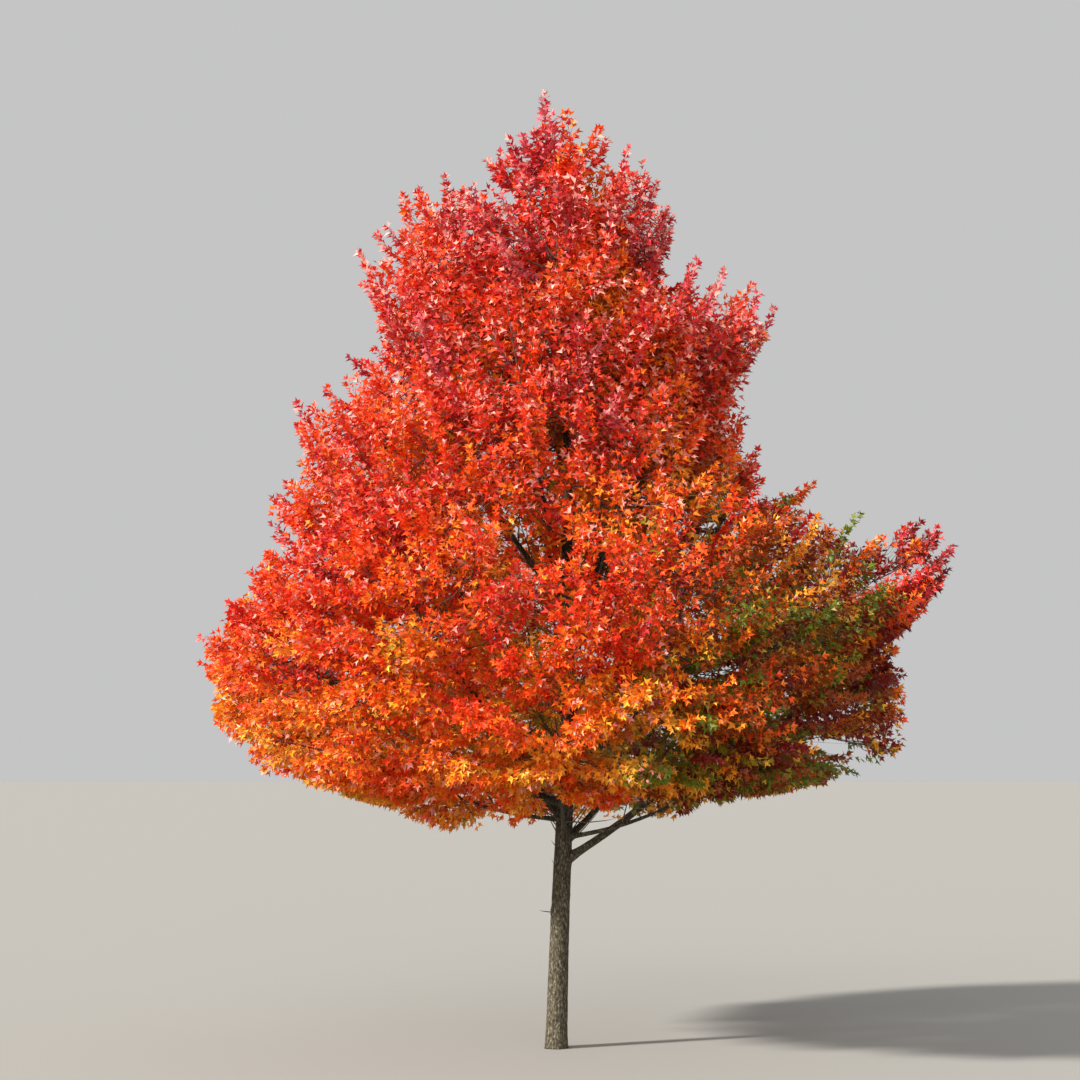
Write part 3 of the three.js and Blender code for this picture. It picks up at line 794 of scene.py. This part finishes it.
def trunk_mesh(boughs):
    low = np.arange(0, BARE_TRUNK, RING_SPACING_LOW)
    heights = np.concatenate([low, np.arange(low[-1] + RING_SPACING_HIGH, TRUNK_TIP, RING_SPACING_HIGH)])
    heights = np.append(heights, TRUNK_TIP)
    turns = np.arange(TRUNK_SIDES) * 2 * np.pi / TRUNK_SIDES
    height, turn = (grid.ravel() for grid in np.meshgrid(heights, turns, indexing="ij"))
    radius = trunk_radius(height, turn)
    centre = trunk_point(height)
    outward = np.stack([np.cos(turn), np.sin(turn), np.zeros_like(turn)], axis=1)
    smooth = centre + radius[:, None] * outward
    swell = bark_relief(smooth, TRUNK_RELIEF) * np.clip(radius / TRUNK_FULL_RELIEF, TRUNK_LEAST_RELIEF, 1)
    for scar_height, azimuth, size in SCARS:
        apart = np.hypot(height - scar_height, radius * turn_between(turn, math.radians(azimuth))) / size
        rim = np.exp(-((apart - SCAR.rim_place) ** 2) / SCAR.rim_width)
        swell += SCAR.rim * size * rim - SCAR.dip * size * np.exp(-(apart**2))
    for bough in boughs:
        way = bezier_tangent(bough.curve, [0.0])[0]
        azimuth, thick = math.atan2(way[1], way[0]), bough.radius
        out = max(CRUTCH.steepest, math.hypot(way[0], way[1]))
        meets = bough.curve[0][2] + way[2] / out * CRUTCH.from_axis
        above = (height - meets + CRUTCH.below * thick) / CRUTCH.tall
        apart = np.hypot(above, radius * turn_between(turn, azimuth)) / thick
        swell += CRUTCH.out * thick * np.exp(-(apart**2))
    swell[height <= 0] = 0
    points = smooth + swell[:, None] * outward
    return ring_mesh(points.reshape(len(heights), TRUNK_SIDES, 3))


def bough_radius(bough, stops):
    return bough.radius + (BOUGH_TIP_RADIUS - bough.radius) * (stops / stops[-1])


def bough_mesh(bough):
    points, ways, stops = limb_line(bough.curve, BOUGH_RING_SPACING)
    level, upright = across_ways(ways)
    turns = np.arange(BOUGH_SIDES) * 2 * np.pi / BOUGH_SIDES
    radius = bough_radius(bough, stops)
    radius = radius * (1 + COLLAR_SWELL * np.exp(-np.maximum(0, stops - bough.inside) / COLLAR_LENGTH))
    around = turned(turns, level[:, None], upright[:, None])
    smooth = points[:, None] + radius[:, None, None] * around
    swell = bark_relief(smooth.reshape(-1, 3), BOUGH_RELIEF).reshape(smooth.shape[:2])
    swell *= np.clip(radius / BOUGH_FULL_RELIEF, BOUGH_LEAST_RELIEF, 1)[:, None]
    return ring_mesh(smooth + swell[..., None] * around)


def make_boughs(masses):
    boughs = []
    for mass in masses:
        if not mass.on_bough:
            continue
        length = curve_length(mass.curve)
        bough = SimpleNamespace(name=f"bough_{mass.name}", radius=BOUGH_RADIUS_PER_LENGTH * length)
        bough.curve = part_of(mass.curve, 0, 1 - MASS_ENTRY / length)
        bough.inside = trunk_radius(bough.curve[0][2], 0)
        boughs.append(bough)
    return boughs


def snag_curves():
    """Thin dead twigs on the bare trunk: each bends up a little."""
    curves = []
    for height, azimuth, length, rise in SNAGS:
        turn, lift = math.radians(azimuth), math.radians(rise)
        way = np.array([math.cos(turn) * math.cos(lift), math.sin(turn) * math.cos(lift), math.sin(lift)])
        start = trunk_point(height)
        curves.append(sagging(start, start + (length + trunk_radius(height, turn)) * way, SNAG_SAG))
    return np.array(curves)


# The leaves.
TINTS = {
    # Green and olive stand for shade leaves that stay greener, in darkened colours that also paint the
    # shade.
    "green": ("#66731c", "leaves_olive"),
    "olive": ("#8f7b1f", "leaves_olive"),
    "gold": ("#eaa935", "leaves_amber"),
    "amber": ("#e88f20", "leaves_amber"),
    "orange": ("#ea6a16", "leaves_orange"),
    "vermilion": ("#ea4c18", "leaves_scarlet"),
    "scarlet": ("#dc341a", "leaves_scarlet"),
    "crimson": ("#b92830", "leaves_crimson"),
    "rose": ("#cf555e", "leaves_crimson"),
    # Painted shade: maroon and russet are dark tints dealt only in the crown's shaded lower right.
    "shade_maroon": ("#7c1c18", "leaves_crimson"),
    "shade_russet": ("#96410f", "leaves_orange"),
    # Painted glint: a pale tint for sunny leaves, standing also for pale undersides.
    "underside_glint": ("#ec9a8c", "leaves_crimson"),
}
LEAF_ROUGHNESS = 0.42
TINT_NAMES = list(TINTS)
TINT_STEPS = [0.7, 1.6, 2.6, 3.5, 4.5, 5.5, 6.6, 7.6]  # where each tint gives way to the next
GREEN, OLIVE, SHADE_MAROON, SHADE_RUSSET, UNDERSIDE_GLINT = (
    TINT_NAMES.index(name) for name in ("green", "olive", "shade_maroon", "shade_russet", "underside_glint")
)
# How ripe a shoot's leaves are, in tints: the mean, and what its place in the crown adds.
RIPE = SimpleNamespace(
    mean=4.85, top=1.9, low=-2.5, inside=-1.9, shade=-1.3, right_tips=3.1, broad_patches=2.4,
    small_patches=1.2, stray=0.35, plume=0.8
)
RIGHT_TIPS_FROM = 0.78  # of the crown's half width
# In the crown's shaded patches, where greener tints and the dark tints of painted shade are dealt: how many
# shoots take each tint at most, and from where in the noise.
PATCH = SimpleNamespace(
    green_share=0.8, olive_from=0.14, green_from=0.28, maroon_share=0.75, maroon_to=-0.2,
    russet_share=0.6, russet_within=0.24, tip_maroon_share=0.4
)
STRAY_SHARE = 0.14  # of a shoot's leaves, one tint riper, and as many one less ripe
UNDERSIDE_GLINT_SHARE_LOW = 0.06  # of the sunny leaves, given the pale tint that paints glints and stands also for pale undersides
UNDERSIDE_GLINT_SHARE_HIGH = 0.28
SUNNY_OUT = 0.55  # of the crown's reach, and outwards
SUNNY_SHADE = 0.3  # the most shaded share of sunny leaves


def crown_shares(points):
    """How far to the right of its axis and how high each point is, as shares of the crown's size."""
    return (points[:, 0] - CROWN_AXIS_X) / CROWN_HALF_WIDTH, points[:, 2] / TREE_HEIGHT


def shaded_share(points):
    """1 in the shaded lower right of the crown, and 0 in the rest of it."""
    right, high = crown_shares(points)
    return smooth_share(right, 0.12, 0.5) * smooth_share(high, 0.62, 0.5)


def noise_at(points, scale, offset=0):
    return np.array([noise.noise(Vector(scale * point + offset)) for point in points])


def deal_tints(points, draws, riper=0):
    """Each shoot's tint: red at the top and outside, amber inside and low down, and in the shade mixed with
    greener tints and with dark maroon and russet as painted shade.
    """
    right, high = crown_shares(points)
    shade = shaded_share(points)
    ripe = (
        RIPE.mean
        + riper
        + RIPE.top * smooth_share(high, 0.6, 0.92)
        + RIPE.low * smooth_share(high, 0.38, 0.24)
        + RIPE.inside * inner_share(points)
        + RIPE.shade * shade
        + RIPE.right_tips * smooth_share(right, RIGHT_TIPS_FROM, 0.95)
        + RIPE.broad_patches * noise_at(points, 1.3)
        + RIPE.small_patches * noise_at(points, 3.1, 3)
        + draws.normal(0, RIPE.stray, len(points))
    )
    tint = np.searchsorted(TINT_STEPS, ripe)
    patchy = shade * smooth_share(right, 0.92, RIGHT_TIPS_FROM)
    patch = noise_at(points, 2.6, 7) + 0.12 * draws.normal(0, 1, len(points))
    patch = patch + 0.1 * smooth_share(high, 0.5, 0.35)
    roll = draws.random(len(points))
    leafy = (roll < PATCH.green_share * patchy) & (patch > PATCH.olive_from)
    # Painted shade: dark maroon and russet in the shaded patches and on the shaded right tips.
    shade_maroon = (roll < PATCH.maroon_share * patchy) & (patch < PATCH.maroon_to)
    shade_maroon |= (roll < PATCH.tip_maroon_share * shade) & (right > RIGHT_TIPS_FROM)
    shade_russet = (roll > 1 - PATCH.russet_share * patchy) & (np.abs(patch) < PATCH.russet_within)
    tint[leafy] = np.where(patch > PATCH.green_from, GREEN, OLIVE)[leafy]
    tint[shade_maroon] = SHADE_MAROON
    tint[shade_russet] = SHADE_RUSSET
    return tint


def stray_tints(tints, points, draws):
    """Each leaf's tint: mostly its shoot's, or one beside it, or on sunny outer leaves a pale tint that is
    a painted glint and stands also for a pale underside.
    """
    roll = draws.random(len(tints))
    shift = np.where(roll < STRAY_SHARE, -1, np.where(roll > 1 - STRAY_SHARE, 1, 0))
    tints = np.where(tints < SHADE_MAROON, np.clip(tints + shift, 0, SHADE_MAROON - 1), tints)
    out, azimuth = from_axis(points)
    sunny = out > SUNNY_OUT * crown_reach(points[:, 2], azimuth)
    sunny = sunny & (shaded_share(points) < SUNNY_SHADE)
    # Painted glints: the pale tint goes only to sunny outer leaves, more of them high up.
    high = smooth_share(points[:, 2] / TREE_HEIGHT, 0.35, 0.9)
    turned = draws.random(len(tints)) < UNDERSIDE_GLINT_SHARE_LOW + (UNDERSIDE_GLINT_SHARE_HIGH - UNDERSIDE_GLINT_SHARE_LOW) * high
    return np.where(sunny & turned, UNDERSIDE_GLINT, tints)


def leaf_template():
    """A leaf's outline, across and along, and the fan of triangles that fills it, with its stalk's."""
    half = np.array(LEAF_HALF)
    outline = np.vstack([[0, 0], half, [0, 1], half[::-1] * [-1, 1]])
    fan = [(0, i, i + 1) for i in range(1, len(outline) - 1)]
    stalk = (len(outline), len(outline) + 1, 0)
    return outline, np.array(fan + [stalk])


def leaf_places(shoots, habit, draws):
    """Pairs along the shoots and one leaf at each tip: its shoot, pair, share of the way and side."""
    lengths = curve_length(shoots)
    counts = np.maximum(2, np.round((lengths - habit.bare) / habit.spacing)).astype(int)
    shoot, pair = numbered_pairs(counts)
    free = habit.bare / np.maximum(lengths, 2 * habit.bare)
    place = pair + draws.uniform(*LEAF_PLACE, len(pair))
    share = free[shoot] + (1 - free[shoot]) * place / counts[shoot]
    shoot, pair, share = (np.repeat(values, 2) for values in (shoot, pair, share))
    side = np.tile([1.0, -1.0], len(shoot) // 2)
    tips = np.arange(len(shoots))
    at_tips = (tips, 0 * tips, np.ones(len(tips)), np.zeros(len(tips)))
    return [np.concatenate(both) for both in zip((shoot, pair, share, side), at_tips)]


def leaf_blades(base, along, across, normal, size, draws):
    """The outline's points on each leaf, folded along its rib and curled down."""
    outline, _ = leaf_template()
    aside_share, along_share = outline[:, 0], outline[:, 1]
    fold = draws.uniform(*LEAF_FOLD, len(base))[:, None]
    curl = draws.uniform(*LEAF_CURL, len(base))[:, None]
    lift = fold * np.abs(aside_share) - curl * (along_share**2 + LEAF_SIDE_CURL * aside_share**2)
    wide = draws.uniform(*LEAF_WIDTH, len(base))[:, None]
    return (
        base[:, None]
        + (size[:, None] * wide * aside_share)[..., None] * across[:, None]
        + (size[:, None] * along_share)[..., None] * along[:, None]
        + (size[:, None] * lift)[..., None] * normal[:, None]
    )


def leaves_on(shoots, tints, habit, is_clear, draws):
    """The points of every leaf on the shoots, and its tint. None touches a limb or fills an opening."""
    shoot, pair, share, side = leaf_places(shoots, habit, draws)
    node = bezier(shoots[shoot], share[:, None])[:, 0]
    tint = stray_tints(tints[shoot], node, draws)
    tangent = bezier_tangent(shoots[shoot], share[:, None])[:, 0]
    aside = aside_ways(tangent, side, pair, draws.uniform(-PAIR_TWIST, PAIR_TWIST, len(pair)))
    stalk_way = unit(STALK_AHEAD * tangent + habit.lean * aside + STALK_RISE * UP)
    size = LEAF_LENGTH * (LEAF_LARGEST - LEAF_SHRINK * share)
    size = size * (1 + SHADE_LEAF_SWELL * inner_share(node))
    size = size * draws.uniform(1 - LEAF_SPREAD, 1 + LEAF_SPREAD, len(node))
    stalk = habit.stalk * size / LEAF_LENGTH * np.where(side == 0, END_STALK_SHARE, 1)
    base = node + stalk[:, None] * stalk_way
    droop = draws.uniform(*LEAF_DROOP, len(node))[:, None]
    along = unit(stalk_way + LEAF_AHEAD * tangent - droop * UP)
    stray = draws.normal(0, LEAF_STRAY, node.shape)
    facing = unit(LEAF_TO_SKY * UP + LEAF_TO_OUTSIDE * growing_way(node) + stray)
    across = unit(np.cross(facing, along))
    normal = np.cross(along, across)

    far = base + size[:, None] * along
    centre = (base + far) / 2
    clear = np.array([is_clear(point) for point in centre])
    kept = clear & in_crown(base) & ~is_open(centre)
    base, along, across, normal, size, tint, node, stalk_way = (
        values[kept] for values in (base, along, across, normal, size, tint, node, stalk_way)
    )
    blades = leaf_blades(base, along, across, normal, size, draws)
    edge = PETIOLE_WIDTH / 2 * unit(np.cross(stalk_way, normal))
    stalks = np.stack([node - edge, node + edge], axis=1)
    return np.concatenate([blades, stalks], axis=1), tint


def clear_of_limbs(boughs):
    """A test of whether a point is clear of the trunk and boughs."""
    heights = np.arange(CROWN_REACH[0, 0], TRUNK_TIP, LIMB_STRIDE)
    points, radii = [trunk_point(heights)], [trunk_radius(heights, 0)]
    for bough in boughs:
        line, _, stops = limb_line(bough.curve, LIMB_STRIDE)
        points.append(line)
        radii.append(bough_radius(bough, stops))
    points, radii = np.concatenate(points), np.concatenate(radii)
    tree = kdtree.KDTree(len(points))
    for i, point in enumerate(points):
        tree.insert(point, i)
    tree.balance()

    def is_clear(point):
        _, index, apart = tree.find(point)
        return apart > radii[index] + LIMB_CLEARANCE

    return is_clear


def make_bark_pieces(boughs):
    bark = bark_material()
    make_piece("trunk_bark", *trunk_mesh(boughs), bark, "bark", ["trunk"], True)
    for bough in boughs:
        make_piece(f"{bough.name}_bark", *bough_mesh(bough), bark, "bark", [bough.name], True)


def grow_crown(masses, boughs, draws):
    """The crown's curves of each kind. The plumes and sprays are those that carry leaves."""
    stems, twigs = [], []
    for mass in masses:
        stem, mains = main_twigs(mass)
        stems.append(stem)
        twigs.append(mains)
    stems, twigs = np.array(stems), np.concatenate(twigs)
    limbs = np.array([bough.curve for bough in boughs] + [trunk_leader()])
    ahead = ray_lengths(in_crown, twigs[:, 2], bezier_tangent(twigs, [1.0])[:, 0], PLUME_LOOK)
    outer = ahead < PLUME_NEAR_SIDE
    branchlets, _ = shoots_on(limbs, BRANCHLETS, draws)
    forks, _ = shoots_on(twigs, FORKS, draws, PLUME_FREE * outer)
    branchlets = np.concatenate([branchlets, forks])
    free_ends = np.concatenate([PLUME_FREE * outer, np.zeros(len(branchlets) + len(stems))])
    shoots, leads = shoots_on(np.concatenate([twigs, branchlets, stems]), SHOOTS, draws, free_ends)
    leaders = np.flatnonzero(leads)
    standing = far_apart(np.concatenate([twigs[outer, 2], shoots[leaders, 2]]))[outer.sum() :]
    for crowded in leaders[~standing]:
        shoots[crowded] = part_of(shoots[crowded], 0, CROWDED_SHARE)
        leads[crowded] = False
    spurs, _ = shoots_on(shoots, SPURS, draws, PLUME_FREE * leads)
    plumes = np.concatenate([last_of(twigs[outer], PLUME_LENGTH), last_of(shoots[leads], PLUME_LENGTH)])
    inner_ends = last_of(np.concatenate([twigs[~outer], branchlets]), TWIG_LEAFY_END)
    sprays = np.concatenate([shoots[~leads], spurs, inner_ends])
    twigs = np.concatenate([twigs, branchlets])
    crown = dict(stems=stems, twigs=twigs, shoots=shoots, spurs=spurs, plumes=plumes, sprays=sprays)
    print(", ".join(f"{len(curves)} {kind}" for kind, curves in crown.items()))
    return SimpleNamespace(**crown)


def make_wood(crown, nodes):
    """The stems, twigs and bare sprouts as one piece, and the shoots and spurs as another."""
    stout = [
        tapered_tubes(crown.stems, BOUGH_TIP_RADIUS, STEM_TIP_RADIUS, 2 * TWIG_SIDES, TWIG_RINGS),
        tapered_tubes(crown.twigs, TWIG_RADIUS, TWIG_TIP_RADIUS, TWIG_SIDES, TWIG_RINGS),
        tapered_tubes(snag_curves(), SNAG_RADIUS, TWIG_TIP_RADIUS, TWIG_SIDES, TWIG_RINGS),
    ]
    fine = [
        tapered_tubes(crown.shoots, SHOOT_RADIUS, SHOOT_TIP_RADIUS, SHOOT_SIDES, SHOOT_RINGS),
        tapered_tubes(crown.spurs, SPUR_RADIUS, SHOOT_TIP_RADIUS, SHOOT_SIDES, SPUR_RINGS),
    ]
    wood = plain_material("twig_wood", "#5b4a40", 0.85)
    make_piece("twigs", *joined(stout), wood, "bark", nodes, True)
    young_wood = plain_material("shoot_wood", "#6b3a2e", 0.7)
    make_piece("shoots", *joined(fine), young_wood, "bark", nodes, True)


def make_leaves(crown, is_clear, nodes, draws):
    """Joined pieces of leaves, one or more for each tint."""
    tints = deal_tints(crown.plumes[:, 2], draws, RIPE.plume)
    plume_leaves, plume_tints = leaves_on(crown.plumes, tints, PLUME, is_clear, draws)
    tints = deal_tints(crown.sprays[:, 2], draws)
    spray_leaves, spray_tints = leaves_on(crown.sprays, tints, SPRAY, is_clear, draws)
    leaves = np.concatenate([plume_leaves, spray_leaves])
    leaf_tints = np.concatenate([plume_tints, spray_tints])
    print(f"{len(leaves)} leaves")
    _, template = leaf_template()
    for number, (name, (colour, slot)) in enumerate(TINTS.items()):
        chosen = leaves[leaf_tints == number]
        material = plain_material(f"leaf_{name}", colour, LEAF_ROUGHNESS)
        parts = math.ceil(len(chosen) * len(template) / PIECE_TRIANGLES)
        for part, blades in enumerate(np.array_split(chosen, parts)):
            starts = np.arange(len(blades)) * blades.shape[1]
            triangles = (template[None] + starts[:, None, None]).reshape(-1, 3)
            points = blades.reshape(-1, 3)
            make_piece(f"leaves_{name}_{part + 1}", points, triangles, material, slot, nodes, False)


def build_tree():
    masses = make_masses()
    boughs = make_boughs(masses)
    foliage_nodes = [f"foliage_{mass.name}" for mass in masses]
    make_bark_pieces(boughs)
    draws = np.random.default_rng(TWIG_SEED)
    crown = grow_crown(masses, boughs, draws)
    make_wood(crown, foliage_nodes)
    make_leaves(crown, clear_of_limbs(boughs), foliage_nodes, draws)


# The stage: a pale floor, soft light and a camera where the photograph was taken from.
CAMERA_RIGHT = -0.1245
CAMERA_DISTANCE = 19.02
CAMERA_HEIGHT = 2.389
CAMERA_PITCH = math.radians(4.744)
CAMERA_LENS = 80.33
SENSOR_WIDTH = 36
FLOOR_SIZE = 240
SKY_COLOUR = (0.93, 0.93, 0.94, 1)
SKY_STRENGTH = 0.6
# The way that each light goes, its strength, its width in degrees, and its colour.
KEY_LIGHT = ((0.88, 0.42, -0.55), 6.6, 5, (1.0, 0.95, 0.88))
FILL_LIGHT = ((0.25, 0.9, -0.35), 1.7, 60, (1.0, 0.96, 0.92))


def make_stage():
    bpy.ops.mesh.primitive_plane_add(size=FLOOR_SIZE)
    floor = bpy.context.object
    floor.name = "floor"
    floor.data.materials.append(plain_material("floor", "#9b9a96", 0.9, 0.1))
    world = bpy.data.worlds.new("studio")
    world.use_nodes = True
    world.node_tree.nodes["Background"].inputs["Color"].default_value = SKY_COLOUR
    world.node_tree.nodes["Background"].inputs["Strength"].default_value = SKY_STRENGTH
    bpy.context.scene.world = world
    add_sun("key", *KEY_LIGHT)
    add_sun("fill", *FILL_LIGHT)


def add_sun(name, way, strength, spread, colour):
    """A sun whose width softens its shadows."""
    light = bpy.data.lights.new(name, "SUN")
    light.energy = strength
    light.angle = math.radians(spread)
    light.color = colour
    add_object(name, light).rotation_euler = Vector(way).to_track_quat("-Z", "Y").to_euler()


def make_camera():
    data = bpy.data.cameras.new("camera")
    data.lens = CAMERA_LENS
    data.sensor_width = SENSOR_WIDTH
    data.clip_end = FLOOR_SIZE
    camera = add_object("camera", data)
    camera.location = (CAMERA_RIGHT, -CAMERA_DISTANCE, CAMERA_HEIGHT)
    camera.rotation_euler = (math.pi / 2 + CAMERA_PITCH, 0, 0)
    bpy.context.scene.camera = camera


make_camera()
make_stage()
build_tree()
bpy.context.scene.view_settings.view_transform = "Standard"
